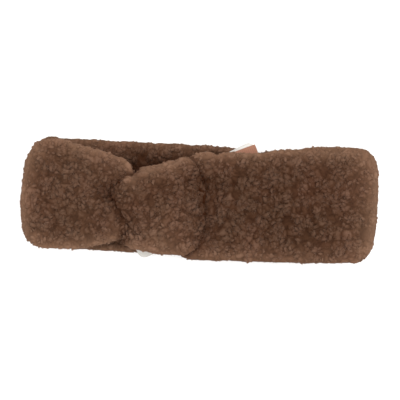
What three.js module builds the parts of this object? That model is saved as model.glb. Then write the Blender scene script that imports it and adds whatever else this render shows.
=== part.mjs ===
// Knotted wool headband, lying flat: a padded strap closed into a loop, a wrap of the same
// fabric pulled tight round the front of it, and two sewn-in labels lying in the hollow.
// Millimetres, +X along the headband, +Y across it, +Z up.  The worn side of the back lies on z = 0.

import * as THREE from 'three';
import { LoftGeometry } from 'three/addons/geometries/LoftGeometry.js';

// ---- sizes ------------------------------------------------------------------------------------

const STRAP = {
  fullness: 5,          // how square the padded strap's section is: 2 is an ellipse
  softness: 2.2,        // how round its two edges are
  around: 40,           // points round one section
};

const BACK = {
  centre: 4.9,          // height of the back run's middle, pressed a little into the table
  thick: 12.2,          // before the underside is pressed flat at z = 0, which leaves 11
  seamX: 36,            // centre-back seam, where the loop is joined
  seamDeep: 1.5,
  seamWide: 5,
};

const FOLD = {
  x: 110,               // where each flat run ends and the fold begins
  reach: 9.5,           // how far the middle of the strap swings out in the fold
  late: 2.7,            // how late along the fold its edges draw in
  left: { top: 8.2, bottom: 3.8, bow: 0.32 },   // how much they draw in, and how bowed the
  right: { top: 2.2, bottom: 6.4, bow: 0.16 },  // fold is, at its outermost point
};

const WRAP = {
  gap: 0.7,             // air between the wrap and the strap inside it
  calm: 0.8,            // share of the strap's gathers that its thick crest smooths out
  bulge: 3.2,           // how square the wrap is between its two rims
  dome: 2.5,            // fullness of its crest: rounder than the strap
  around: 48,
  across: 14,
  inside: 9,
};

// Edges of the lower run of the strap, from left to right.
const BACK_RUN = [
  { x: -112, top: 40.0, bottom: -38.0 },
  { x: -60, top: 39.3, bottom: -39.1 },
  { x: 0, top: 39.0, bottom: -38.8 },
  { x: 22, top: 38.0, bottom: -39.2 },
  { x: 36, top: 35.3, bottom: -37.8 },
  { x: 50, top: 37.3, bottom: -39.2 },
  { x: 112, top: 39.2, bottom: -38.2 },
];

// Edges, underside height and thickness of the upper run; the strap is squeezed inside the wrap.
const FRONT_RUN = [
  { x: -112, top: 37.0, bottom: -37.6, low: 18.0, thick: 10.5 },
  { x: -100, top: 37.9, bottom: -38.4, low: 18.0, thick: 11.0 },
  { x: -88, top: 35.0, bottom: -37.8, low: 18.0, thick: 11.2 },
  { x: -70, top: 31.0, bottom: -35.2, low: 17.8, thick: 12.0 },
  { x: -57, top: 27.2, bottom: -31.0, low: 18.4, thick: 13.2 },
  { x: -51, top: 24.2, bottom: -30.1, low: 18.8, thick: 14.2 },
  { x: -47, top: 19.0, bottom: -30.0, low: 19.0, thick: 14.6 },
  { x: -42, top: 17.0, bottom: -30.4, low: 19.2, thick: 15.0 },
  { x: -35, top: 16.4, bottom: -31.4, low: 19.2, thick: 15.0 },
  { x: -27, top: 18.4, bottom: -32.8, low: 19.2, thick: 15.0 },
  { x: -20, top: 21.9, bottom: -34.3, low: 19.2, thick: 15.0 },
  { x: -14, top: 25.6, bottom: -37.2, low: 19.0, thick: 14.6 },
  { x: -7, top: 30.4, bottom: -40.6, low: 18.8, thick: 14.0 },
  { x: -1, top: 33.5, bottom: -41.4, low: 18.5, thick: 13.4 },
  { x: 6, top: 34.0, bottom: -41.4, low: 18.2, thick: 12.8 },
  { x: 20, top: 34.4, bottom: -41.0, low: 17.8, thick: 11.8 },
  { x: 42, top: 35.0, bottom: -40.8, low: 17.6, thick: 11.2 },
  { x: 54, top: 37.6, bottom: -40.7, low: 17.6, thick: 11.0 },
  { x: 85, top: 41.4, bottom: -40.1, low: 17.6, thick: 11.0 },
  { x: 112, top: 42.0, bottom: -38.8, low: 18.0, thick: 10.5 },
];

// The wrap's two rims, its thickness and how gently it rises from each rim, by angle round the
// strap: 0 is the upper edge, 90 the crest, 180 the lower edge, 270 the underside.
const WRAP_RIM = [
  { angle: 0, left: -43.0, right: -12.0, wall: 4.4, rise: 0.5, fall: 1.1 },
  { angle: 26, left: -45.5, right: -4.0, wall: 6.4, rise: 0.7, fall: 1.4 },
  { angle: 45, left: -50.0, right: 0.5, wall: 8.6, rise: 1.0, fall: 1.3 },
  { angle: 61, left: -57.0, right: 3.8, wall: 9.4, rise: 1.2, fall: 1.0 },
  { angle: 72, left: -62.0, right: 5.0, wall: 9.8, rise: 1.3, fall: 1.1 },
  { angle: 82, left: -64.0, right: 5.8, wall: 10.0, rise: 1.3, fall: 1.1 },
  { angle: 92, left: -62.5, right: 6.2, wall: 10.0, rise: 1.3, fall: 1.1 },
  { angle: 101, left: -58.5, right: 6.4, wall: 10.0, rise: 1.3, fall: 1.1 },
  { angle: 110, left: -55.0, right: 6.4, wall: 9.8, rise: 1.3, fall: 1.1 },
  { angle: 120, left: -52.5, right: 5.6, wall: 9.4, rise: 1.4, fall: 1.1 },
  { angle: 137, left: -51.5, right: 1.5, wall: 8.6, rise: 1.6, fall: 1.1 },
  { angle: 152, left: -52.5, right: -7.0, wall: 7.4, rise: 1.6, fall: 1.3 },
  { angle: 166, left: -54.0, right: -14.5, wall: 5.8, rise: 1.4, fall: 1.1 },
  { angle: 180, left: -54.0, right: -19.0, wall: 4.6, rise: 1.1, fall: 0.8 },
  { angle: 225, left: -48.0, right: -19.0, wall: 5.4, rise: 0.6, fall: 0.5 },
  { angle: 270, left: -45.0, right: -18.0, wall: 5.9, rise: 0.5, fall: 0.5 },
  { angle: 315, left: -44.0, right: -16.0, wall: 5.2, rise: 0.5, fall: 0.5 },
  { angle: 360, left: -43.0, right: -12.0, wall: 4.4, rise: 0.5, fall: 1.1 },
];

// Gathers that run out of the wrap on each side of it: where they start, how many pleats cross
// the strap, how deep they are and how soon they die away.  They rise over GATHER_RUN.
const GATHER_RUN = 14;
const GATHERS = [
  { from: -55, side: -1, pleats: 3.4, deep: 1.5, fade: 22, phase: 0.4 },
  { from: -4, side: 1, pleats: 4.6, deep: 1.7, fade: 17, phase: 1.1 },
];

// Soft hollows in the upper face.
const DENTS = [
  { x: -103, y: 28, deep: 2.0, radius: 13 },
  { x: 14, y: 8, deep: 1.2, radius: 16 },
];

// Where sections stand along the loop: x from, x to, how many steps.
const BACK_STEPS = [[-110, 24, 12], [24, 48, 6], [48, 110, 5]];
const FRONT_STEPS = [[110, 30, 8], [30, 6, 5], [6, -66, 27], [-66, -110, 7]];
const FOLD_STEPS = 9;

// Labels lie askew in the hollow: degrees turned, where the upper right corner would be if it
// were sharp, size, how round the corners are, and height of the underside.
const LABELS = {
  care: {
    name: 'care_label', turn: 29.3, corner: [35.0, 43.9], long: 107.6, wide: 40.6, round: 5,
    low: 11.3,
  },
  back: {
    name: 'back_label', turn: 22.8, corner: [37.4, 41.5], long: 31, wide: 35, round: 0.5,
    low: 11.9,
  },
  thick: 0.3,
  panels: [20, 8],      // flat panels along and across a label
};

const COLOURS = { wool: 0x573d2e, satin: 0xd7d0c8, tape: 0x9c705b };

// ---- helpers ----------------------------------------------------------------------------------

const mix = (a, b, t) => a + (b - a) * t;
const radians = THREE.MathUtils.degToRad;

// Smooth value of one column of a table, read along its key column.
function along(table, key, at, column) {
  const last = table.length - 1;
  const x = THREE.MathUtils.clamp(at, table[0][key], table[last][key]);
  let i = 0;
  while (i < last - 1 && x > table[i + 1][key]) i += 1;
  const slope = (j) => {
    const a = table[Math.max(j - 1, 0)];
    const b = table[Math.min(j + 1, last)];
    return (b[column] - a[column]) / (b[key] - a[key]);
  };
  const span = table[i + 1][key] - table[i][key];
  const t = (x - table[i][key]) / span;
  const ease = t * t * (3 - 2 * t);
  return mix(table[i][column], table[i + 1][column], ease)
    + span * (slope(i) * t * (1 - t) * (1 - t) - slope(i + 1) * t * t * (1 - t));
}

// Points between the ends of each piece of a run, the first point of each piece included.
function steps(pieces) {
  return pieces.flatMap(([from, to, count]) => (
    Array.from({ length: count }, (_, i) => mix(from, to, i / count))));
}

// How far a padded section reaches from its middle plane, 0 at the edges and 1 at the crest.
function puff(cosine, fullness) {
  return Math.max(0, 1 - Math.abs(cosine) ** fullness) ** (1 / STRAP.softness);
}

// Height added to the upper face by the gathers, less that of the hollows.
function relief(x, y, cosine) {
  let height = 0;
  for (const g of GATHERS) {
    const away = (x - g.from) * g.side;
    const strength = away > 0 ? Math.exp(-away / g.fade) : 1;
    const reach = THREE.MathUtils.smoothstep(away, -GATHER_RUN, 0);
    height += g.deep * strength * reach * Math.cos(Math.PI * (g.pleats * cosine + g.phase));
  }
  for (const d of DENTS) {
    const r = Math.hypot(x - d.x, y - d.y) / d.radius;
    if (r < 1) height -= d.deep * (1 - r * r) ** 2;
  }
  return height;
}

// A ring through closed sections, the last of them joined to the first.
function closedLoft(sections) {
  return new LoftGeometry([...sections, sections[0]]);
}

// ---- the strap --------------------------------------------------------------------------------

// One section of the strap: its middle, its edges, its thickness and the way its worn face looks.
function backStation(x) {
  const away = (x - BACK.seamX) / BACK.seamWide;
  const seam = BACK.seamDeep * Math.exp(-away * away);
  return {
    x, z: BACK.centre, out: [0, -1], thick: BACK.thick, seam, front: false, bow: 0,
    top: along(BACK_RUN, 'x', x, 'top'), bottom: along(BACK_RUN, 'x', x, 'bottom'),
  };
}

function frontStation(x) {
  const thick = along(FRONT_RUN, 'x', x, 'thick');
  return {
    x, z: along(FRONT_RUN, 'x', x, 'low') + thick / 2,
    out: [0, 1], thick, seam: 0, front: true, bow: 0,
    top: along(FRONT_RUN, 'x', x, 'top'), bottom: along(FRONT_RUN, 'x', x, 'bottom'),
  };
}

// The strap turning from one run to the other: `turn` goes from -90 at the back to 90 at the front.
function foldStation(side, turn) {
  const back = backStation(side * FOLD.x);
  const front = frontStation(side * FOLD.x);
  const angle = radians(turn);
  const rise = (front.z - back.z) / 2;
  const share = (Math.sin(angle) + 1) / 2;
  const drawn = Math.cos(angle) ** FOLD.late;
  const narrow = side > 0 ? FOLD.right : FOLD.left;
  const bow = side * FOLD.reach * narrow.bow * Math.cos(angle);
  const out = new THREE.Vector2(side * Math.cos(angle) / FOLD.reach, Math.sin(angle) / rise);
  out.normalize();
  return {
    x: side * (FOLD.x + FOLD.reach * Math.cos(angle)),
    z: mix(back.z, front.z, 0.5) + rise * Math.sin(angle),
    out: [out.x, out.y], thick: mix(back.thick, front.thick, share), seam: 0, front: false, bow,
    top: mix(back.top, front.top, share) - narrow.top * drawn,
    bottom: mix(back.bottom, front.bottom, share) + narrow.bottom * drawn,
  };
}

// A point of a section: angle 0 at the upper edge, 90 on the worn face, 270 inside the loop.
function strapPoint(station, angle) {
  const c = Math.cos(angle);
  const y = mix(station.bottom, station.top, (c + 1) / 2);
  const worn = Math.sin(angle) >= 0;
  const full = puff(c, STRAP.fullness);
  let reach = station.thick / 2 * full * (worn ? 1 : -1);
  if (station.front && worn) reach += relief(station.x, y, c) * full;
  if (!worn) reach += station.seam * full;
  const z = station.z + station.out[1] * reach;
  const x = station.x - station.bow * c * c + station.out[0] * reach;
  return new THREE.Vector3(x, y, Math.max(z, 0));
}

function strapSection(station) {
  return Array.from({ length: STRAP.around }, (_, k) => (
    strapPoint(station, 2 * Math.PI * k / STRAP.around)));
}

function band() {
  const folds = Array.from({ length: FOLD_STEPS - 1 }, (_, i) => -90 + 180 * (i + 1) / FOLD_STEPS);
  const stations = [
    ...steps(BACK_STEPS).map(backStation),
    backStation(FOLD.x),
    ...folds.map((turn) => foldStation(1, turn)),
    ...steps(FRONT_STEPS).map(frontStation),
    frontStation(-FOLD.x),
    ...folds.map((turn) => foldStation(-1, -turn)),
  ];
  const sections = stations.map((station) => strapSection(station).reverse());
  return closedLoft(sections);
}

// ---- the wrap ---------------------------------------------------------------------------------

// A point of the wrap: `angle` round the strap, `share` from the left rim to the right one,
// `outer` on its worn face or else in its hole, which follows the strap at a small gap.
function wrapPoint(angle, share, outer) {
  const turn = THREE.MathUtils.radToDeg(angle);
  const x = mix(along(WRAP_RIM, 'angle', turn, 'left'),
    along(WRAP_RIM, 'angle', turn, 'right'), share);
  const strap = frontStation(x);
  const slope = along(WRAP_RIM, 'angle', turn, share < 0.5 ? 'rise' : 'fall');
  const swell = (1 - Math.abs(2 * share - 1) ** WRAP.bulge) ** slope;
  const wall = outer ? along(WRAP_RIM, 'angle', turn, 'wall') * swell : 0;
  const c = Math.cos(angle);
  const up = Math.sin(angle) >= 0;
  const fullness = outer ? mix(STRAP.fullness, WRAP.dome, swell) : STRAP.fullness;
  const middle = (strap.top + strap.bottom) / 2;
  const half = (strap.top - strap.bottom) / 2 + WRAP.gap + wall;
  const raise = up ? relief(x, middle + half * c, c) * (1 - swell * WRAP.calm * outer) : 0;
  const reach = (strap.thick / 2 + WRAP.gap + wall + raise) * puff(c, fullness);
  return new THREE.Vector3(x, middle + half * c, strap.z + (up ? reach : -reach));
}

function knot() {
  const hole = Array.from({ length: WRAP.inside + 1 }, (_, i) => i / WRAP.inside);
  const worn = Array.from({ length: WRAP.across - 1 }, (_, i) => (
    0.5 + 0.5 * Math.cos(Math.PI * (i + 1) / WRAP.across)));
  const sections = Array.from({ length: WRAP.around }, (_, k) => {
    const angle = 2 * Math.PI * k / WRAP.around;
    return [
      ...hole.map((share) => wrapPoint(angle, share, false)),
      ...worn.map((share) => wrapPoint(angle, share, true)),
    ];
  });
  return closedLoft(sections);
}

// ---- labels -----------------------------------------------------------------------------------

// A flat strip that lies on the back run, turned about its upper right corner.  What would
// stand out beyond a round corner is drawn in to it.
function label({ turn, corner, long, wide, round, low }) {
  const shape = new THREE.BoxGeometry(long, wide, LABELS.thick, ...LABELS.panels, 1);
  const places = shape.getAttribute('position');
  for (let i = 0; i < places.count; i += 1) {
    const [x, y] = [places.getX(i), places.getY(i)];
    const past = [Math.abs(x) - long / 2 + round, Math.abs(y) - wide / 2 + round];
    const far = Math.hypot(...past);
    if (Math.min(...past) > 0 && far > round) {
      const keep = 1 - round / far;
      places.setXY(i, x - Math.sign(x) * past[0] * keep, y - Math.sign(y) * past[1] * keep);
    }
  }
  shape.translate(-long / 2, -wide / 2, low + LABELS.thick / 2);
  shape.rotateZ(radians(turn));
  shape.translate(corner[0], corner[1], 0);
  return shape;
}

// ---- the headband -----------------------------------------------------------------------------

function piece(name, geometry, color, roughness) {
  const mesh = new THREE.Mesh(geometry, new THREE.MeshStandardMaterial({ color, roughness }));
  mesh.name = name;
  return mesh;
}

const pieces = [
  piece('band', band(), COLOURS.wool, 0.95),
  piece('knot', knot(), COLOURS.wool, 0.95),
  piece(LABELS.care.name, label(LABELS.care), COLOURS.satin, 0.5),
  piece(LABELS.back.name, label(LABELS.back), COLOURS.tape, 0.7),
];

// Origin at the middle of the bounding box, on the table.
const box = new THREE.Box3();
for (const mesh of pieces) box.expandByObject(mesh);
const centre = box.getCenter(new THREE.Vector3());
for (const mesh of pieces) mesh.geometry.translate(-centre.x, -centre.y, -box.min.z);

const headband = new THREE.Group();
headband.name = 'wool_headband';
headband.add(...pieces);

export default headband;
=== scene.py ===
# %% [markdown]
# # A knotted teddy-wool headband
# The headband lies flat on a pale table: a padded strap closed into a loop, a wrap of the same
# curly wool round the front of it, and two labels lying in the hollow.  The solid model gives
# every piece its form and its place.  This lesson dresses it: first the camera and the light,
# then the two wool bodies with their curls, locks and loose hairs, and last the labels.

# %% Load the frame
import math

import bmesh
import bpy
import numpy as np
from mathutils import Matrix, Vector, noise
from mathutils.bvhtree import BVHTree
from mathutils.kdtree import KDTree


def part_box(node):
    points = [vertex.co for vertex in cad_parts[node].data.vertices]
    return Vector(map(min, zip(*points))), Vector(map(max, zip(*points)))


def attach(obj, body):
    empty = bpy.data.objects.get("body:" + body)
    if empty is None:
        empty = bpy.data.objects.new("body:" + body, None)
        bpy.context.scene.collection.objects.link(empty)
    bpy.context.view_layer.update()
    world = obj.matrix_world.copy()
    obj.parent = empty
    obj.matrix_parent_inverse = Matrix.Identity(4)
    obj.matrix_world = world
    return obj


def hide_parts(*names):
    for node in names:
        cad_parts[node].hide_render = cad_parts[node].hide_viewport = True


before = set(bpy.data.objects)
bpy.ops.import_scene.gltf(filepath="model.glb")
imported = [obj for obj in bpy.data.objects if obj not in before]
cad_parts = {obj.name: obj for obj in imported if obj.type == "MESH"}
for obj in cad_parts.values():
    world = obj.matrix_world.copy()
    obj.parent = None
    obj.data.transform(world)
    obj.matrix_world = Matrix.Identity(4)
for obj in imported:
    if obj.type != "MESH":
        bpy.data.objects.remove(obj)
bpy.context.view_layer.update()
MM = 0.001

# %% [markdown]
# ## Helpers
# Colours are picked as sRGB hex values, because that is how a colour picker shows them, and one
# function turns them to the linear values that shaders work with.  A second function adds a
# node, sets its sockets and links it, so that a material reads as a short list of steps.


# %% Colour and node helpers
def linear(hex_colour):
    """An sRGB hex colour as linear red, green, blue and alpha."""
    values = [int(hex_colour[i:i + 2], 16) / 255 for i in (1, 3, 5)]
    return [v / 12.92 if v <= 0.04045 else ((v + 0.055) / 1.055) ** 2.4 for v in values] + [1.0]


def add(tree, kind, settings=None, **sockets):
    """A node of that kind.  A socket goes by its name, with _ for a space, or by its number, as
    in _0; its value is a number, a colour or another node's output."""
    node = tree.nodes.new(kind)
    for name, value in (settings or {}).items():
        setattr(node, name, value)
    for name, value in sockets.items():
        socket = node.inputs[int(name[1:]) if name[1:].isdigit() else name.replace("_", " ")]
        if isinstance(value, bpy.types.NodeSocket):
            tree.links.new(value, socket)
        else:
            socket.default_value = value
    return node


def new_material(name):
    """An empty node material, and its tree."""
    material = bpy.data.materials.new(name)
    material.use_nodes = True
    material.node_tree.nodes.clear()
    return material, material.node_tree


def colour_stops(node, *stops):
    """Sets a colour ramp's stops from pairs of position and hex colour."""
    ramp = node.color_ramp
    while len(ramp.elements) < len(stops):
        ramp.elements.new(0.5)
    for element, (position, colour) in zip(ramp.elements, stops):
        element.position = position
        element.color = linear(colour)


print("middle grey #808080 in linear light:", round(linear("#808080")[0], 3))


# %% Object and mesh helpers
def put_in_scene(name, data):
    """A new object at the origin that shows a mesh, a camera or a lamp."""
    made = bpy.data.objects.new(name, data)
    bpy.context.collection.objects.link(made)
    return made


def mesh_from(shape, name):
    """A finished bmesh as a mesh."""
    mesh = bpy.data.meshes.new(name)
    shape.to_mesh(mesh)
    shape.free()
    return mesh


def triangles_in(mesh):
    """How many triangles a mesh's faces come to."""
    return sum(len(face.vertices) - 2 for face in mesh.polygons)


solid_meshes = [o.data for o in bpy.data.objects if o.type == "MESH"]
print("triangles in the solids:", sum(triangles_in(mesh) for mesh in solid_meshes))

# %% [markdown]
# ## Camera
# The headband is seen from straight above, with its long side turned a little clockwise in the
# view.  A long lens a metre away keeps the two layers from sliding apart by perspective.

# %% Camera
CAMERA_HEIGHT = 1.0
CAMERA_ASIDE = (0.5 * MM, 0.3 * MM)
FILM_WIDE = 36                # in mm, as Blender's lens is
VIEW_WIDE = 280.6 * MM        # what the view takes in, at the height of the upper layer
VIEW_ROLL = math.radians(2.8)
UPPER_LAYER = 20 * MM

camera_data = bpy.data.cameras.new("camera")
camera_data.sensor_width = FILM_WIDE
camera_data.lens = FILM_WIDE * (CAMERA_HEIGHT - UPPER_LAYER) / VIEW_WIDE
camera = put_in_scene("camera", camera_data)
camera.location = (*CAMERA_ASIDE, CAMERA_HEIGHT)
camera.rotation_euler = (0, 0, VIEW_ROLL)
bpy.context.scene.camera = camera
print("lens, mm:", round(camera_data.lens, 1))

# %% [markdown]
# ## Table and light
# A white table under a white sky gives the even, almost shadowless light of a light tent.  The
# sky alone would leave the wool flat, so one large lamp overhead shapes the curls softly.  The
# table throws light back at the headband's rims, and it glows faintly itself, so that it stays
# white right up to the wool.

# %% Table
TABLE_SIZE = 4.0
TABLE_GAP = 0.3 * MM          # a hair's breadth under the wool, so that they share no plane


def table_top():
    """A sheet of white paper that is far wider than the view."""
    shape = bmesh.new()
    bmesh.ops.create_grid(shape, x_segments=1, y_segments=1, size=TABLE_SIZE / 2)
    bmesh.ops.translate(shape, verts=shape.verts, vec=(0, 0, -TABLE_GAP))
    table = put_in_scene("table", mesh_from(shape, "table"))
    # Uncoated paper scatters light evenly: the eye sees soft shadows on it and no reflection.
    material, tree = new_material("matt white paper")
    paper = add(tree, "ShaderNodeBsdfDiffuse", Color=linear("#F4F4F3"))
    glow = add(tree, "ShaderNodeEmission", Strength=0.12)
    both = add(tree, "ShaderNodeAddShader", _0=paper.outputs[0], _1=glow.outputs[0])
    add(tree, "ShaderNodeOutputMaterial", Surface=both.outputs[0])
    table.data.materials.append(material)
    print("table, m across:", TABLE_SIZE)
    return table


table_top()

# %% Lamp and sky
LAMP_PLACE = (0.1, 0.1, 1.3)
LAMP_SIZE = 1.3
LAMP_POWER = 18
SKY_STRENGTH = 1.05

lamp_data = bpy.data.lights.new("overhead lamp", "AREA")
lamp_data.size = LAMP_SIZE
lamp_data.energy = LAMP_POWER
lamp = put_in_scene("overhead lamp", lamp_data)
lamp.location = LAMP_PLACE
lamp.rotation_euler = Vector(LAMP_PLACE).to_track_quat("Z", "Y").to_euler()

world = bpy.data.worlds.new("white studio")
bpy.context.scene.world = world
world.use_nodes = True
sky = world.node_tree.nodes["Background"]
sky.inputs["Color"].default_value = (1, 1, 1, 1)
sky.inputs["Strength"].default_value = SKY_STRENGTH
bpy.context.scene.view_settings.view_transform = "Standard"

# %% [markdown]
# ## The bodies under the curls
# Beneath its curls the headband is a soft padded tube.  The solid model has that form, but in
# large flat facets, and a curl can't be raised in the middle of a facet.  So each body starts as
# a copy of its solid that the Remesh modifier cuts into an even net of squares.  A smoothing
# modifier takes off what is left of the facets, and Shrinkwrap lays the net back on the solid,
# so that the rims stay where they are.

# %% Even nets over the solids
WELD = 0.01 * MM              # corners nearer than this are one corner
STRAP_NET = 3.6 * MM          # from one vertex of the net to the next
WRAP_NET = 1.4 * MM


def apply_modifiers(piece):
    """Replaces a piece's mesh by what its modifiers make of it."""
    made = piece.evaluated_get(bpy.context.evaluated_depsgraph_get())
    mesh = bpy.data.meshes.new_from_object(made)
    piece.modifiers.clear()
    piece.data = mesh


def netted_copy(node, name, net):
    """A copy of a solid as an even net of squares, `net` across."""
    shape = bmesh.new()
    shape.from_mesh(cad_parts[node].data)
    bmesh.ops.remove_doubles(shape, verts=shape.verts, dist=WELD)
    piece = put_in_scene(name, mesh_from(shape, name))
    remesh = piece.modifiers.new("even net", "REMESH")
    remesh.mode = "VOXEL"
    remesh.voxel_size = net
    apply_modifiers(piece)
    smooth = piece.modifiers.new("lose the facets", "CORRECTIVE_SMOOTH")
    smooth.smooth_type = "LENGTH_WEIGHTED"
    smooth.use_only_smooth = True
    smooth.iterations = 3
    apply_modifiers(piece)
    rims = piece.modifiers.new("back out to the rims", "SHRINKWRAP")
    rims.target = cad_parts[node]
    apply_modifiers(piece)
    print(name, "net:", len(piece.data.vertices), "vertices")
    return piece


band = netted_copy("band", "wool_band", STRAP_NET)
knot = netted_copy("knot", "wool_wrap", WRAP_NET)

# %% [markdown]
# ## Numbers on vertices
# Much of the rest is a number a vertex: how far off the wrap is, how much light gets there, how
# steep the wool is.  NumPy works such a number out for all vertices at once, so their places and
# normals are read as arrays.  A result that is needed later is stored on the mesh under a name,
# as an attribute, where Geometry Nodes and materials find it again.


# %% Arrays and attributes
def rows_of(mesh, what):
    """Three numbers a vertex as rows of an array: its place ("co") or its normal ("normal")."""
    flat = np.zeros(len(mesh.vertices) * 3, np.float32)
    mesh.vertices.foreach_get(what, flat)
    return flat.reshape(-1, 3).astype(float)


def set_places(mesh, places):
    """Moves each vertex to the place in its row."""
    mesh.vertices.foreach_set("co", np.ascontiguousarray(places, np.float32).ravel())
    mesh.update()


def keep(piece, name, values):
    """Stores one number a vertex under a name."""
    piece.data.attributes.new(name, "FLOAT", "POINT").data.foreach_set("value", values)


def kept(piece, name):
    """The numbers stored under a name."""
    values = np.zeros(len(piece.data.vertices), np.float32)
    piece.data.attributes[name].data.foreach_get("value", values)
    return values.astype(float)


def ease(value, start, end):
    """0 before the start, 1 after the end, and a smooth step between them."""
    share = np.clip((value - start) / (end - start), 0, 1)
    return share * share * (3 - 2 * share)


print("a smooth step from 0 to 1:", ease(np.linspace(0, 1, 5), 0, 1).round(2))

# %% [markdown]
# ## Filling
# Wadding makes a tube swell between the places that hold it flat.  Scaling the tube can't do
# that, but Blender's cloth solver can, with air pressed into it and gravity switched off.  The
# strap is pinned where the wrap grips it, where it lies on the table and inside the hollow.  It
# may swell by little more than a millimetre, because the solid's size has to hold.

# %% Fill the strap
FILL_PRESSURE = 3.0
FILL_STEPS = 20
MOST_SWELL = 1.2 * MM
GRIP_START = 4 * MM           # how far above the wrap's underside its grip starts
TABLE_CONTACT = 2 * MM
HOLLOW_REACH = 116 * MM       # either way from the middle of the strap
HOLLOW_FLOOR = 8 * MM


def fill_with_padding(piece, held):
    """Blows a body up by cloth simulation; `held` is 1 on pinned vertices and 0 on the others."""
    start = rows_of(piece.data, "co")
    group = piece.vertex_groups.new(name="held")
    for index, weight in enumerate(held):
        group.add([index], float(weight), "REPLACE")
    cloth = piece.modifiers.new("filling", "CLOTH")
    cloth.settings.quality = 4
    cloth.settings.mass = 0.2
    cloth.settings.vertex_group_mass = "held"
    cloth.settings.tension_stiffness = 8
    cloth.settings.bending_stiffness = 0.3
    cloth.settings.use_pressure = True
    cloth.settings.uniform_pressure_force = FILL_PRESSURE
    cloth.settings.effector_weights.gravity = 0
    for step in range(1, FILL_STEPS + 1):
        bpy.context.scene.frame_set(step)
    apply_modifiers(piece)
    move = rows_of(piece.data, "co") - start
    length = np.linalg.norm(move, axis=1, keepdims=True)
    set_places(piece.data, start + move * np.minimum(1, MOST_SWELL / np.maximum(length, 1e-9)))
    piece.vertex_groups.clear()
    bpy.context.scene.frame_set(1)
    print(piece.name, "swelled, mm:", round(float(min(length.max(), MOST_SWELL)) / MM, 1))


knot_low, knot_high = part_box("knot")
strap = rows_of(band.data, "co")
in_wrap = ((strap[:, 0] > knot_low.x) & (strap[:, 0] < knot_high.x)
           & (strap[:, 2] > knot_low.z + GRIP_START))
on_table = strap[:, 2] < TABLE_CONTACT
in_hollow = ((abs(strap[:, 0]) < HOLLOW_REACH) & (strap[:, 2] > HOLLOW_FLOOR)
             & (strap[:, 2] < UPPER_LAYER))
fill_with_padding(band, np.where(in_wrap | on_table | in_hollow, 1.0, 0.0))

# %% [markdown]
# ## Shelter
# Wool in a fold or in the hollow gets little light, lies flatter and is hardly seen.  To find
# where that is, a dome of rays is sent out of each vertex, round its normal, and the share of
# them that meets wool is its shelter: 0 in the open and 1 in the dark.  A material could ask for
# ambient occlusion instead, but a stored number can also thin the net and the tufts, and further
# on it paints shade into the wool's colour.

# %% Measure the shelter
RAYS = 48
GOLDEN_ANGLE = 2.39996        # a turn that spreads any number of rays evenly over the dome
RAY_LIFT = 1.5                # mm from the wool to where a ray starts
RAY_LONG = 45 * MM


def shelter_of(piece, bodies):
    """How much of the open air the bodies hide from each vertex of a piece, from 0 to 1."""
    corners, faces = [], []
    for body in bodies:
        faces += [tuple(len(corners) + i for i in p.vertices) for p in body.data.polygons]
        corners += [v.co.copy() for v in body.data.vertices]
    tree = BVHTree.FromPolygons(corners, faces)
    rays = []
    for number in range(RAYS):
        rise = math.sqrt(1 - (number + 0.5) / RAYS)
        out = math.sqrt(1 - rise * rise)
        turn = number * GOLDEN_ANGLE
        rays.append(Vector((out * math.cos(turn), out * math.sin(turn), rise)))
    hidden = []
    for vertex in piece.data.vertices:
        stand = Vector((0, 0, 1)).rotation_difference(vertex.normal)
        start = vertex.co + vertex.normal * RAY_LIFT * MM
        hits = [tree.ray_cast(start, stand @ ray, RAY_LONG)[0] is not None for ray in rays]
        hidden.append(sum(hits) / len(rays))
    return np.array(hidden)


for piece in (band, knot):
    keep(piece, "shelter", shelter_of(piece, [band, knot]))
    print(piece.name, "mean shelter:", round(float(kept(piece, "shelter").mean()), 2))

# %% [markdown]
# ## A finer net
# A curl needs squares of about a millimetre, so a Subdivision Surface modifier splits the nets
# again and keeps them smooth.  In the hollow the net need not be so fine, since little of it is
# seen, and a Decimate modifier takes faces out where the shelter is nearly full.  The strap then
# stays under two hundred thousand triangles.

# %% Split the nets and thin one out
HIDDEN = 0.9                  # shelter above this is out of sight
FACES_KEPT = 0.8              # share of all the faces that stays


def finer(piece, levels):
    """Smooth subdivision, applied."""
    subdivision = piece.modifiers.new("finer", "SUBSURF")
    subdivision.levels = subdivision.render_levels = levels
    apply_modifiers(piece)


def thin_out(piece):
    """Takes faces out where a piece is hidden."""
    group = piece.vertex_groups.new(name="thin")
    for index, value in enumerate(kept(piece, "shelter")):
        if value > HIDDEN:
            group.add([index], 1.0, "REPLACE")
    fewer = piece.modifiers.new("fewer faces", "DECIMATE")
    fewer.ratio = FACES_KEPT
    fewer.vertex_group = group.name
    apply_modifiers(piece)
    piece.vertex_groups.clear()


finer(band, 2)
finer(knot, 1)
thin_out(band)
for piece in (band, knot):
    print(piece.name, "triangles:", triangles_in(piece.data))

# %% [markdown]
# ## Creases
# The wrap gathers the strap, so shallow creases run out from it over the strap, and the wrap has
# some of its own where it is pulled tight.  They could be sculpted by hand.  Here each one is a
# line through a few points, seen from above, and the upper face sinks along it by a bell curve,
# so that its depth and width stay easy to change.

# %% Sink the creases
# Each crease's depth, its half width and the points that it runs through, all in mm.
CREASES = [
    (0.8, 4.5, [(-1, 26), (3, 11), (4, -3), (3, -19)]),
    (1.6, 3.0, [(-11, 14), (-6, 11), (2, 7)]),
    (1.6, 3.0, [(23, 13), (5, 9)]),
    (1.6, 3.0, [(15, 26), (4, 12)]),
    (1.8, 3.4, [(-18, 26), (-14, 18), (-9, 11)]),
    (0.7, 3.0, [(-2, 33), (-1, 25)]),
    (2.0, 3.6, [(11, 37), (11, 24)]),
    (0.8, 4.5, [(-45, 19), (-53, 15), (-65, -1), (-54, -10), (-41, -18)]),
]
CREASED_FROM, CREASED_FULLY = 17 * MM, 22 * MM      # heights between which they come in


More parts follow.
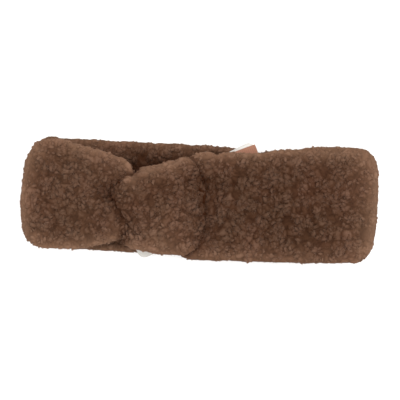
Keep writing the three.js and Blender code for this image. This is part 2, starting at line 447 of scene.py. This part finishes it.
def sink_creases(piece):
    """Draws the creases into a piece's upper face."""
    places = rows_of(piece.data, "co")
    upper = ease(places[:, 2], CREASED_FROM, CREASED_FULLY)
    sunk = np.zeros(len(places))
    for depth, width, crease in CREASES:
        crease = np.array(crease) * MM
        nearest = np.full(len(places), np.inf)
        for start, end in zip(crease, crease[1:]):
            run = end - start
            share = np.clip(((places[:, :2] - start) @ run) / (run @ run), 0, 1)
            off = places[:, :2] - start - share[:, None] * run
            nearest = np.minimum(nearest, np.linalg.norm(off, axis=1))
        sunk = np.maximum(sunk, depth * np.exp(-(nearest / (width * MM)) ** 2))
    facing = rows_of(piece.data, "normal")
    set_places(piece.data, places - facing * (sunk * upper * MM)[:, None])
    print(piece.name, "deepest crease, mm:", round(float((sunk * upper).max()), 1))


sink_creases(band)
sink_creases(knot)

# %% [markdown]
# ## Where the pile stands open, where it is pressed, and where light and shade are painted
# Pile opens on a rim, like the bristles of a bent brush, and fuzz seen edge on there looks pale
# against the bright sky and table.  In a fold, in the hollow or where the wrap grips the strap,
# the pile is pressed together and gets little light.  Nothing stands up inside the wrap, under a
# label or against the table.  So each vertex gets a few numbers.  `rim` is painted light that
# makes the rims paler, with some of the pale tips of open pile, and `fold` is painted shade that
# makes folds, the hollow and the wool beside the other body darker.  `edge` is 1 on steep open
# sides, where the tufts are short and the pile stands off.  `free` is 1 away from the other body,
# and `open` says how many tufts grow.

# %% Label sizes
LABEL_THICK = 0.25 * MM
CARE_LONG, CARE_WIDE, CARE_TURN = 107.6 * MM, 40.6 * MM, math.radians(29.3)
BACK_LONG, BACK_WIDE, BACK_TURN = 31 * MM, 35 * MM, math.radians(22.8)
print("care label, mm:", round(CARE_LONG / MM, 1), "x", round(CARE_WIDE / MM, 1))
print("back label, mm:", round(BACK_LONG / MM, 1), "x", round(BACK_WIDE / MM, 1))

# %% Distances
LABEL_MARGIN = 3 * MM         # how far round a label the pile is still pressed
HOLLOW_MIDDLE = 13.5 * MM     # height of the middle of the hollow


def distance_to(other, places):
    """How far each place is from another piece's surface."""
    tree = BVHTree.FromPolygons([v.co for v in other.data.vertices],
                                [tuple(p.vertices) for p in other.data.polygons])
    return np.array([tree.find_nearest(Vector(p))[3] for p in places])


def in_from_edge(places, outline):
    """How far in each place is from the nearest place of the outline, seen from above."""
    tree = KDTree(int(outline.sum()))
    for index, (x, y, _) in enumerate(places[outline]):
        tree.insert((x, y, 0), index)
    tree.balance()
    return np.array([tree.find((x, y, 0))[2] for x, y, _ in places])


def under_label(places):
    """1 on the wool that the care label lies on or beneath."""
    low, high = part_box("care_label")
    x, y = (places[:, :2] - np.array((low + high)[:2]) / 2).T
    along = abs(x * math.cos(CARE_TURN) + y * math.sin(CARE_TURN))
    across = abs(y * math.cos(CARE_TURN) - x * math.sin(CARE_TURN))
    return (ease(along, CARE_LONG / 2 + LABEL_MARGIN, CARE_LONG / 2)
            * ease(across, CARE_WIDE / 2 + LABEL_MARGIN, CARE_WIDE / 2)
            * ease(abs(places[:, 2] - HOLLOW_MIDDLE), 8 * MM, 6 * MM))


def ironed(piece, rounds):
    """Where each vertex would be if the surface were smoothed that many times."""
    mesh = piece.data
    ends = np.zeros(len(mesh.edges) * 2, np.int32)
    mesh.edges.foreach_get("vertices", ends)
    first, second = ends.reshape(-1, 2).T
    count = np.bincount(ends, minlength=len(mesh.vertices))[:, None]
    start = rows_of(mesh, "co")
    calm = start.copy()
    for _ in range(rounds):
        total = np.stack([np.bincount(first, calm[second, axis], len(start))
                          + np.bincount(second, calm[first, axis], len(start))
                          for axis in range(3)], axis=1)
        calm = 0.5 * calm + 0.5 * total / count
    return calm


strap_gaps = distance_to(knot, rows_of(band.data, "co"))
print("from the wrap to the nearest wool of the strap, mm:", round(float(strap_gaps.min()) / MM, 1))

# %% [markdown]
# A few broad, soft patches are made paler or darker.  Most are painted light and shade: light on
# the wrap's near half, on the strap's rounded right end and over the crease where the far end of
# the wrap's right side meets the strap, and shade in the notch where the hollow shows.  The
# others make the strap's left part a little paler in its middle and a little darker in one spot.

# %% Rims, folds and tones
# A patch's middle and radius, in mm, and how much paler or darker the wool is there.
PAINTED_LIGHT_AND_SHADE = [
    ((-22, -22, 37), 18, 0.3),
    ((-85, 6, 29), 42, 0.16),
    ((119, 20, 20), 20, 0.3),
    ((119, -20, 20), 20, 0.3),
    ((-43, 22, 10), 12, -0.4),
    ((-64, 2, 28), 9, -0.15),
    ((-4, 27, 24), 9, 0.3),
]
# How far the painted light on an edge, shown as pale tips, fades inwards.
EDGE_WIDE = 4.0 * MM          # how far the pale tips of an edge fade inwards
# How much shade is painted in valleys, in sheltered wool and beside the other body.
VALLEY_DARK = 0.2
SHELTER_DARK = 0.46
CONTACT_SHADE = 0.3
IRON_ROUNDS = 40              # smoothing that leaves the body and takes the valleys away


def painted_light_and_shade_at(places):
    """How much paler or darker each place is for the patches that it lies in."""
    return sum(amount * np.exp(-((places / MM - middle) ** 2).sum(axis=1) / radius ** 2)
               for middle, radius, amount in PAINTED_LIGHT_AND_SHADE)


def right_of_wrap(places):
    """0 on the strap's left part, 1 on its right part, and a smooth step under the wrap."""
    return ease(places[:, 0], -50 * MM, -10 * MM)


def painted_rim_light(places, inward):
    """How much light is painted on the rims as pale tips: most on the outline, less inwards and low
    down the sides, and less along the near edge right of the wrap, which is a little shaded."""
    pale = np.exp(-inward / EDGE_WIDE) * (0.6 + 0.4 * ease(places[:, 2], 8 * MM, 22 * MM))
    near = ease(-places[:, 1], 28 * MM, 36 * MM)
    return pale * (1 - 0.4 * right_of_wrap(places) * near)


def painted_shade_of(piece, places, shelter, gap, reach):
    """How much shade is painted on the pile: in valleys, where it is sheltered, and near the other
    body, which presses on it.  The last two fade along a fold towards the strap's long edges, where
    the fold runs out."""
    right = right_of_wrap(places)
    past_middle = abs(places[:, 1] + 8 * MM * right) - (12 + 11 * right) * MM
    deep = 1 - 0.85 * ease(past_middle, 0, 12 * MM) * ease(places[:, 2], 15 * MM, 20 * MM)
    facing = rows_of(piece.data, "normal")
    bulge = ((places - ironed(piece, IRON_ROUNDS)) * facing).sum(axis=1) / MM
    return (VALLEY_DARK * ease(bulge, 0, -0.6)
            + SHELTER_DARK * (0.3 + 0.7 * deep) * ease(shelter, 0.25, 0.9)
            + CONTACT_SHADE * deep * ease(gap, reach, 0))


print("patches of another tone:", len(PAINTED_LIGHT_AND_SHADE))

# %% Store the numbers
# The most shade that is painted on the wool.
DARKEST_PAINTED_SHADE = 0.75


def keep_pile(piece, other, reach, clear, ends):
    """Stores the numbers, and returns how far the curls may stand up, from 0 to 1.  `reach` is
    how far the other body paints shade on the pile near it, `clear` how far from it a rim gets its
    full painted light, and `ends` is 1 if the body's two ends are rims too, and otherwise 0."""
    places = rows_of(piece.data, "co")
    facing = rows_of(piece.data, "normal")
    gap = distance_to(other, places)
    shelter = kept(piece, "shelter")
    lit = 1 - ease(shelter, 0.1, 0.6)
    tone = painted_light_and_shade_at(places)
    side_on = ease(np.hypot(ends * facing[:, 0], facing[:, 1]), 0.2, 0.95)
    outline = (side_on > 0.9) & (shelter < 0.6) & (gap > 4 * MM)
    rim = painted_rim_light(places, in_from_edge(places, outline)) * lit * ease(gap, 0.4 * clear, clear)
    fold = painted_shade_of(piece, places, shelter, gap, reach) - tone
    loose = (ease(shelter, 0.98, 0.8) * ease(places[:, 2], 0.3 * MM, 1.5 * MM)
             * (1 - under_label(places)) * ease(gap, 0.1 * MM, 1.0 * MM))
    beside = ease(gap, 5 * MM, 1.5 * MM)
    # Painted light and shade: `rim` holds the light on the rims and in the paler patches; `fold`
    # holds the shade in folds, in the hollow, beside the other body and in the darker patches.
    keep(piece, "rim", np.maximum(rim + tone, 0))
    keep(piece, "fold", np.clip(fold, 0, DARKEST_PAINTED_SHADE))
    keep(piece, "edge", side_on * lit)
    keep(piece, "free", ease(gap, 1.5 * MM, 4 * MM))
    keep(piece, "open", loose * (1 + side_on * lit + 0.5 * beside))
    print(piece.name, "share of loose pile:", round(float(loose.mean()), 2))
    return 0.15 + 0.85 * loose


band_stands = keep_pile(band, knot, reach=12 * MM, clear=6 * MM, ends=1)
knot_stands = keep_pile(knot, band, reach=9 * MM, clear=5 * MM, ends=0)

# %% [markdown]
# ## Curls
# Teddy wool is a knitted backing with short pile that has been tumbled into curls of three to
# five millimetres.  Close up they are plump commas with dark cracks between them.  Each curl is
# a cell of a Voronoi pattern, whose coordinates are stirred by noise first, and that bends the
# cells into commas.  A bump map would do for the shading, but real vertices are moved, so the
# outline is bumpy too.  Each curl's height is stored for the colour, and the way its hairs lie
# for the locks.

# %% The pattern
CURL = 5.6 * MM               # from the middle of one curl to the next
STIR = 0.55                   # how far the pattern is stirred, in curls
CRACK_WIDE = 0.42             # how wide a curl's round shoulder is, in curls


def noise_vector(place):
    """Noise with a direction: plain noise, read at a place of its own for each axis.  Blender
    has such a function too, but its numbers can change from one run to the next."""
    return Vector([noise.noise(place + Vector(shift)) for shift in
                   ((9.3, -1.5, -8.0), (0, 0, 0), (6.3, 0.2, -2.7))])


def curl_pattern(place, size):
    """Height of the curls at a place, from 0 in a crack to about 1 on a crown, and the way the
    hairs of that curl lie."""
    stirred = place / size
    stirred = stirred + STIR * noise_vector(stirred * 0.9)
    near, cells = noise.voronoi(stirred)
    crack = min(1.0, (near[1] - near[0]) / CRACK_WIDE)
    plump = math.sqrt(crack * (2 - crack))
    crown = 1 - 0.35 * min(1.0, near[0])
    tall = 0.72 + 0.28 * noise.cell(cells[0] * 7.3)
    lie = 0.3 * (stirred - cells[0]).normalized() + 2.2 * noise_vector(cells[0] * 3.1)
    return plump * crown * tall, lie


print("curl heights a millimetre apart:",
      [round(curl_pattern(Vector((x * MM, 0, 0)), CURL)[0], 2) for x in range(8)])

# %% Raise the curls
CURL_TALL = 2.0 * MM
SMALL_CURL = 0.5              # size of the small curls on top of the others, in curls
SMALL_SHIFT = Vector((0.3, 0.1, 0.2))
SUNK = 0.6                    # how deep the curls' feet lie below the solid's skin, in curls
EDGE_FULL = 1.0 * MM          # how much further the pile stands off at an open edge
SWAY_TALL, SWAY_LONG = 0.5 * MM, 14 * MM    # slow waves under the curls


def raise_curls(piece, stands):
    """Moves each vertex out along its normal by the curl pattern; `stands` is 0 to 1 a vertex,
    where 0 is pile that something presses flat."""
    mesh = piece.data
    places = rows_of(mesh, "co")
    curls = [curl_pattern(Vector(p), CURL) for p in places]
    large = np.array([curl[0] for curl in curls])
    small = np.array([curl_pattern(Vector(p) + SMALL_SHIFT, CURL * SMALL_CURL)[0]
                      for p in places])
    sway = np.array([noise.noise(Vector(p) / SWAY_LONG) for p in places])
    height = 0.8 * large + 0.2 * small
    edge = kept(piece, "edge")
    lift = stands * (CURL_TALL * (height - SUNK) * (1 - 0.3 * edge) + SWAY_TALL * sway
                     + EDGE_FULL * edge * kept(piece, "free"))
    moved = places + rows_of(mesh, "normal") * lift[:, None]
    moved[:, 2] = np.maximum(moved[:, 2], 0)
    set_places(mesh, moved)
    mesh.shade_smooth()
    keep(piece, "curl", height)
    keep(piece, "size", (0.75 + 0.4 * height) * (1 - 0.6 * edge))
    keep(piece, "roots", kept(piece, "open") * (0.1 + 0.9 * ease(height, 0.25, 0.5)))
    lie = np.array([curl[1] for curl in curls], np.float32)
    mesh.attributes.new("lie", "FLOAT_VECTOR", "POINT").data.foreach_set("vector", lie.ravel())
    print(piece.name, "curls stand out, mm:", round(float(lift.max()) / MM, 1))


raise_curls(band, band_stands)
raise_curls(knot, knot_stands)

# %% [markdown]
# ## Wool
# The pile is curled sheep's wool in a warm mid brown.  Light sinks into the cracks and catches
# the hair tips, and that is painted into the colour: it runs with the curl's height from almost
# black brown, painted shade in the cracks, up to a pale tan, painted light on the crowns.  A fine
# curly noise gives the single hairs.  The shine stays very low, because hairs that point every
# way scatter the light, and a little sheen gives the pale halo that short wool has edge on.
# Painted light on the rims and painted shade in the folds are laid on top.

# %% Wool material
FIBRE = 0.99 * MM             # from hair to hair; real ones are far finer and would not show
PATCH = 22 * MM               # from one slightly redder patch of wool to the next


def wool():
    """Curled wool pile: to the eye it is soft, deep and quite matt."""
    material, tree = new_material("teddy wool")
    place = add(tree, "ShaderNodeTexCoord").outputs["Object"]
    height = add(tree, "ShaderNodeAttribute", {"attribute_name": "curl"}).outputs["Fac"]
    rim = add(tree, "ShaderNodeAttribute", {"attribute_name": "rim"}).outputs["Fac"]
    fold = add(tree, "ShaderNodeAttribute", {"attribute_name": "fold"}).outputs["Fac"]
    # The curl's height, with the single hairs on it, picks the shade of brown: painted shade down
    # in the cracks and painted light up on the crowns.
    hairs = add(tree, "ShaderNodeTexNoise", Vector=place, Scale=1 / FIBRE, Detail=4.0,
                Roughness=0.65, Distortion=2.5)
    hairy = add(tree, "ShaderNodeMath", {"operation": "MULTIPLY_ADD"}, _0=hairs.outputs["Fac"],
                _1=0.55, _2=height)
    level = add(tree, "ShaderNodeMath", {"operation": "MULTIPLY_ADD"}, _0=hairy.outputs[0],
                _1=0.5, _2=-0.07)
    shade = add(tree, "ShaderNodeValToRGB", Fac=level.outputs[0])
    colour_stops(shade, (0.05, "#1B0902"), (0.3, "#412A1D"), (0.6, "#634B3E"), (0.95, "#9C857B"))
    # Broad patches are a little redder or greener, as undyed fleece is.
    patches = add(tree, "ShaderNodeTexNoise", Vector=place, Scale=1 / PATCH, Detail=2.0)
    warm = add(tree, "ShaderNodeValToRGB", Fac=patches.outputs["Fac"])
    colour_stops(warm, (0.3, "#C2C2A8"), (0.7, "#FFEEE4"))
    tinted = add(tree, "ShaderNodeMix", {"data_type": "RGBA", "blend_type": "MULTIPLY"},
                 _0=0.35, _6=shade.outputs["Color"], _7=warm.outputs["Color"])
    # Painted light makes the rims brighter and paler, like fuzz seen edge on; painted shade takes
    # folds, the hollow and the wool beside the other body to a dark red brown.
    gain = add(tree, "ShaderNodeMath", {"operation": "MULTIPLY_ADD"}, _0=rim, _1=0.8, _2=1.0)
    brighter = add(tree, "ShaderNodeVectorMath", {"operation": "SCALE"}, _0=tinted.outputs[2],
                   Scale=gain.outputs[0])
    painted_halo_share = add(tree, "ShaderNodeMath", {"operation": "MULTIPLY"}, _0=rim, _1=0.36)
    with_rim_light = add(tree, "ShaderNodeMix", {"data_type": "RGBA"}, _0=painted_halo_share.outputs[0],
                 _6=brighter.outputs[0], _7=linear("#806552"))
    with_painted_shade = add(tree, "ShaderNodeMix", {"data_type": "RGBA"}, _0=fold,
                  _6=with_rim_light.outputs[2], _7=linear("#2A1002"))
    fibre = add(tree, "ShaderNodeBump", Height=hairs.outputs["Fac"], Strength=0.3,
                Distance=0.4 * MM)
    cloth = add(tree, "ShaderNodeBsdfPrincipled", Base_Color=with_painted_shade.outputs[2], Roughness=0.95,
                Specular_IOR_Level=0.05, Sheen_Weight=0.07, Sheen_Roughness=0.4,
                Sheen_Tint=linear("#D8A888"), Normal=fibre.outputs["Normal"])
    add(tree, "ShaderNodeOutputMaterial", Surface=cloth.outputs[0])
    print(material.name, "nodes:", len(tree.nodes))
    return material


WOOL = wool()

# %% Hand over the strap and the wrap
for piece, node, fill in ((band, "band", 0.5), (knot, "knot", 0.6)):
    piece.data.materials.clear()
    piece.data.materials.append(WOOL)
    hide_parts(node)
    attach(piece, "root")
    print(piece.name, "stands for", node)

# %% [markdown]
# ## Locks and hairs
# What makes it wool is that every curl is a lock: a tuft of hairs that springs up, bends over
# and rolls in at its tip like a comma.  Blender's hair curves could be combed into such locks,
# but they are lines without a skin, and a solid mesh is wanted here.  So one lock is modelled
# once, as a five-sided cone that is bent round.  The same cone, three-sided and thin, makes a
# loose hair.

# %% A lock and a hair
PLUMP = 0.3                   # how much of a tuft's girth swells in its middle
TAPER = 0.55                  # how much thinner its tip is
SIDEWAYS = 0.25               # how far its tip drifts to the side, in lengths
ROOTED = 0.5                  # how deep its root is sunk, in thicknesses


def bent_tuft(name, long, thick, tip, bend, sides, cuts, root_and_tip_light):
    """A closed, tapering tuft of a few faces that rises from its root and bends over to +X, by
    `bend` radians in all; the last argument is its curl number at the root and at the tip, which
    paints shade at the root and light towards the tip."""
    shape = bmesh.new()
    bmesh.ops.create_cone(shape, cap_ends=True, segments=sides, radius1=thick / 2,
                          radius2=tip / 2, depth=long)
    bmesh.ops.translate(shape, verts=shape.verts, vec=(0, 0, long / 2))
    rising = [e for e in shape.edges if abs(e.verts[0].co.z - e.verts[1].co.z) > long / 2]
    if cuts:
        bmesh.ops.subdivide_edges(shape, edges=rising, cuts=cuts)
    curl = shape.verts.layers.float.new("curl")
    radius = long / bend
    for vertex in shape.verts:
        share = vertex.co.z / long
        # The curl number paints shade at the root and light towards the tip.
        vertex[curl] = root_and_tip_light[0] + (root_and_tip_light[1] - root_and_tip_light[0]) * share ** 0.6
        girth = (1 - PLUMP + PLUMP * math.sin(math.pi * share)) * (1 - TAPER * share ** 3)
        turn = share * bend
        out = radius - vertex.co.x * girth
        vertex.co = Vector((radius - out * math.cos(turn),
                            vertex.co.y * girth + SIDEWAYS * long * share ** 2,
                            out * math.sin(turn) - ROOTED * thick))
    mesh = mesh_from(shape, name)
    mesh.materials.append(WOOL)
    mesh.shade_smooth()
    print(name, "triangles:", triangles_in(mesh))
    return bpy.data.objects.new(name, mesh)


LOCK = bent_tuft("lock", long=5.2 * MM, thick=3.1 * MM, tip=3.0 * MM, bend=3.1, sides=5, cuts=3,
                 root_and_tip_light=(0.1, 1.0))
HAIR = bent_tuft("hair", long=2.8 * MM, thick=0.18 * MM, tip=0, bend=0.6, sides=3, cuts=0,
                 root_and_tip_light=(0.9, 1.6))

# %% [markdown]
# Geometry Nodes scatters the tufts over the wool.  The Poisson disk method keeps them apart, so
# that they cover it evenly, as curls do, where plain random points would leave bald spots.
# Each tuft stands on the surface, leans a little at random, is turned the way its curl lies, and
# is as large as the stored size says.  The hairs are then scattered over the locks in the same
# way.  Each coat of tufts is a piece of its own, and the strap has two coats of locks.

# %% Scatter
STRAY = 0.6                   # how far off the curl's way a tuft may point
LEAN = 0.9                    # how much of that tips it over
SMALLEST, LARGEST = 0.65, 1.25


def scatter(tuft, density, apart, seed):
    """Geometry nodes that put tufts on the wool they are given, and return the tufts alone."""
    tree = bpy.data.node_groups.new("scatter " + tuft.name, "GeometryNodeTree")
    tree.interface.new_socket("Wool", in_out="INPUT", socket_type="NodeSocketGeometry")
    tree.interface.new_socket("Tufts", in_out="OUTPUT", socket_type="NodeSocketGeometry")
    body = add(tree, "NodeGroupInput").outputs[0]
    share = add(tree, "GeometryNodeInputNamedAttribute", {"data_type": "FLOAT"}, Name="roots")
    roots = add(tree, "GeometryNodeDistributePointsOnFaces", {"distribute_method": "POISSON"},
                Mesh=body, Distance_Min=apart, Density_Max=density,
                Density_Factor=share.outputs[0], Seed=seed)
    lie = add(tree, "GeometryNodeInputNamedAttribute", {"data_type": "FLOAT_VECTOR"}, Name="lie")
    stray = add(tree, "FunctionNodeRandomValue", {"data_type": "FLOAT_VECTOR"},
                _0=(-STRAY,) * 3, _1=(STRAY,) * 3, Seed=seed + 1)
    way = add(tree, "ShaderNodeVectorMath", {"operation": "ADD"}, _0=lie.outputs[0],
              _1=stray.outputs[0])
    up = add(tree, "ShaderNodeVectorMath", {"operation": "MULTIPLY_ADD"},
             _0=stray.outputs[0], _1=(LEAN,) * 3, _2=roots.outputs["Normal"])
    stand = add(tree, "FunctionNodeAlignRotationToVector", {"axis": "Z"},
                Vector=up.outputs[0])
    comb = add(tree, "FunctionNodeAlignRotationToVector", {"axis": "X", "pivot_axis": "Z"},
               Rotation=stand.outputs[0], Vector=way.outputs[0])
    chance = add(tree, "FunctionNodeRandomValue", {"data_type": "FLOAT"}, _2=SMALLEST,
                 _3=LARGEST, Seed=seed + 2)
    here = add(tree, "GeometryNodeInputNamedAttribute", {"data_type": "FLOAT"}, Name="size")
    size = add(tree, "ShaderNodeMath", {"operation": "MULTIPLY"}, _0=chance.outputs[1],
               _1=here.outputs[0])
    template = add(tree, "GeometryNodeObjectInfo", Object=tuft)
    tufts = add(tree, "GeometryNodeInstanceOnPoints", Points=roots.outputs[0],
                Instance=template.outputs["Geometry"], Rotation=comb.outputs[0],
                Scale=size.outputs[0])
    real = add(tree, "GeometryNodeRealizeInstances", Geometry=tufts.outputs[0])
    add(tree, "NodeGroupOutput", _0=real.outputs[0])
    print(tree.name, "nodes:", len(tree.nodes))
    return tree


# %% Coats of locks and hairs
HAIRS_PER_MM2 = 0.7
SQUASHED = 0.05               # what is left of a tuft's reach below the face of the table


def grow(body, name, tuft, per_mm2, apart, seed):
    """A coat of tufts on a wool body, as a piece of its own; on the table they lie flat."""
    coat = put_in_scene(name, body.data.copy())
    nodes = coat.modifiers.new("scatter", "NODES")
    nodes.node_group = scatter(tuft, per_mm2 / MM ** 2, apart, seed)
    apply_modifiers(coat)
    places = rows_of(coat.data, "co")
    places[:, 2] = np.where(places[:, 2] < 0, SQUASHED * places[:, 2], places[:, 2])
    set_places(coat.data, places)
    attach(coat, "root")
    print(name, "triangles:", triangles_in(coat.data))
    return coat


for coat in (1, 2):
    locks = grow(band, f"strap_locks_{coat}", LOCK, per_mm2=0.18, apart=2.7 * MM, seed=10 * coat)
    grow(locks, f"strap_hairs_{coat}", HAIR, HAIRS_PER_MM2, apart=0, seed=10 * coat + 5)
locks = grow(knot, "wrap_locks", LOCK, per_mm2=0.3, apart=2.1 * MM, seed=47)
grow(locks, "wrap_hairs", HAIR, HAIRS_PER_MM2, apart=0, seed=83)

# %% [markdown]
# ## Labels
# Two labels lie askew in the hollow of the loop: a long white one of satin ribbon, and a short
# tan one of cotton tape on top of its upper end.  Each is cut from flat cloth, so it starts as a
# grid of squares of its real size, and corners that a maker would trim round are drawn in.  A
# slow wave keeps it from looking like a board, and a Solidify modifier gives it the thickness of
# cloth.  Both are left bare.


# %% Ribbon cloth
def woven(name, pale, dark, rib, turn, roughness, sheen):
    """Ribbon cloth with fine ribs across the label, `rib` from one to the next."""
    material, tree = new_material(name)
    place = add(tree, "ShaderNodeTexCoord").outputs["Object"]
    along = add(tree, "ShaderNodeMapping", Vector=place, Rotation=(0, 0, -turn))
    # A wave texture turns through 20 radians a unit, and a rib is one full turn.
    ribs = add(tree, "ShaderNodeTexWave", {"bands_direction": "X"}, Vector=along.outputs[0],
               Scale=math.tau / (20 * rib), Distortion=0.4, Detail=1.0)
    cloud = add(tree, "ShaderNodeTexNoise", Vector=along.outputs[0], Scale=1 / (9 * MM))
    level = add(tree, "ShaderNodeMath", {"operation": "MULTIPLY_ADD"}, _0=ribs.outputs["Fac"],
                _1=0.4, _2=cloud.outputs["Fac"])
    colour = add(tree, "ShaderNodeValToRGB", Fac=level.outputs[0])
    colour_stops(colour, (0.3, dark), (0.8, pale))
    relief = add(tree, "ShaderNodeBump", Height=ribs.outputs["Fac"], Strength=0.25,
                 Distance=0.1 * MM)
    cloth = add(tree, "ShaderNodeBsdfPrincipled", Base_Color=colour.outputs["Color"],
                Roughness=roughness, Sheen_Weight=sheen, Normal=relief.outputs["Normal"])
    add(tree, "ShaderNodeOutputMaterial", Surface=cloth.outputs[0])
    print(name, "ribs, mm apart:", round(rib / MM, 1))
    return material


# The ribs are drawn several times as coarse as real thread, which would not show.
# Satin's long floating threads give a soft, milky gleam; cotton tape looks dry and chalky.
SATIN = woven("polyester satin", "#C9C6C0", "#B4ADA4", rib=1.0 * MM, turn=CARE_TURN,
              roughness=0.45, sheen=0.1)
TAPE = woven("cotton tape", "#96664F", "#7C523E", rib=1.4 * MM, turn=BACK_TURN,
             roughness=0.8, sheen=0.2)

# %% Cut and lay the labels
SQUARES_LONG, SQUARES_WIDE = 52, 20
LABEL_LIFT = 0.35 * MM
WAVE_TALL, WAVE_LONG = 0.5 * MM, 24 * MM


def label_sheet(name, node, long, wide, turn, corner, material):
    """A label of that size over its solid: a wavy grid, turned and laid in its place; what
    stands out beyond a round corner of that radius is drawn in to it."""
    shape = bmesh.new()
    bmesh.ops.create_grid(shape, x_segments=SQUARES_LONG, y_segments=SQUARES_WIDE, size=0.5)
    bmesh.ops.scale(shape, verts=shape.verts, vec=(long, wide, 1))
    for vertex in shape.verts:
        past = Vector((abs(vertex.co.x) - long / 2 + corner, abs(vertex.co.y) - wide / 2 + corner))
        if min(past) > 0 and past.length > corner:
            draw_in = past * (1 - corner / past.length)
            vertex.co.x -= math.copysign(draw_in.x, vertex.co.x)
            vertex.co.y -= math.copysign(draw_in.y, vertex.co.y)
    low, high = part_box(node)
    middle = Matrix.Translation(((low.x + high.x) / 2, (low.y + high.y) / 2, low.z))
    bmesh.ops.transform(shape, verts=shape.verts, matrix=middle @ Matrix.Rotation(turn, 4, "Z"))
    for vertex in shape.verts:
        wave = noise.noise(Vector(vertex.co[:2]).to_3d() / WAVE_LONG)
        vertex.co.z += LABEL_LIFT + WAVE_TALL * wave
    sheet = put_in_scene(name, mesh_from(shape, name))
    sheet.data.materials.append(material)
    sheet.data.shade_smooth()
    wall = sheet.modifiers.new("cloth thickness", "SOLIDIFY")
    wall.thickness = LABEL_THICK
    wall.offset = 1
    apply_modifiers(sheet)
    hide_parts(node)
    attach(sheet, "root")
    print(name, "triangles:", triangles_in(sheet.data))
    return sheet


care = label_sheet("care_label_cloth", "care_label", CARE_LONG, CARE_WIDE, CARE_TURN,
                   corner=5 * MM, material=SATIN)
back = label_sheet("back_label_tape", "back_label", BACK_LONG, BACK_WIDE, BACK_TURN,
                   corner=0.5 * MM, material=TAPE)
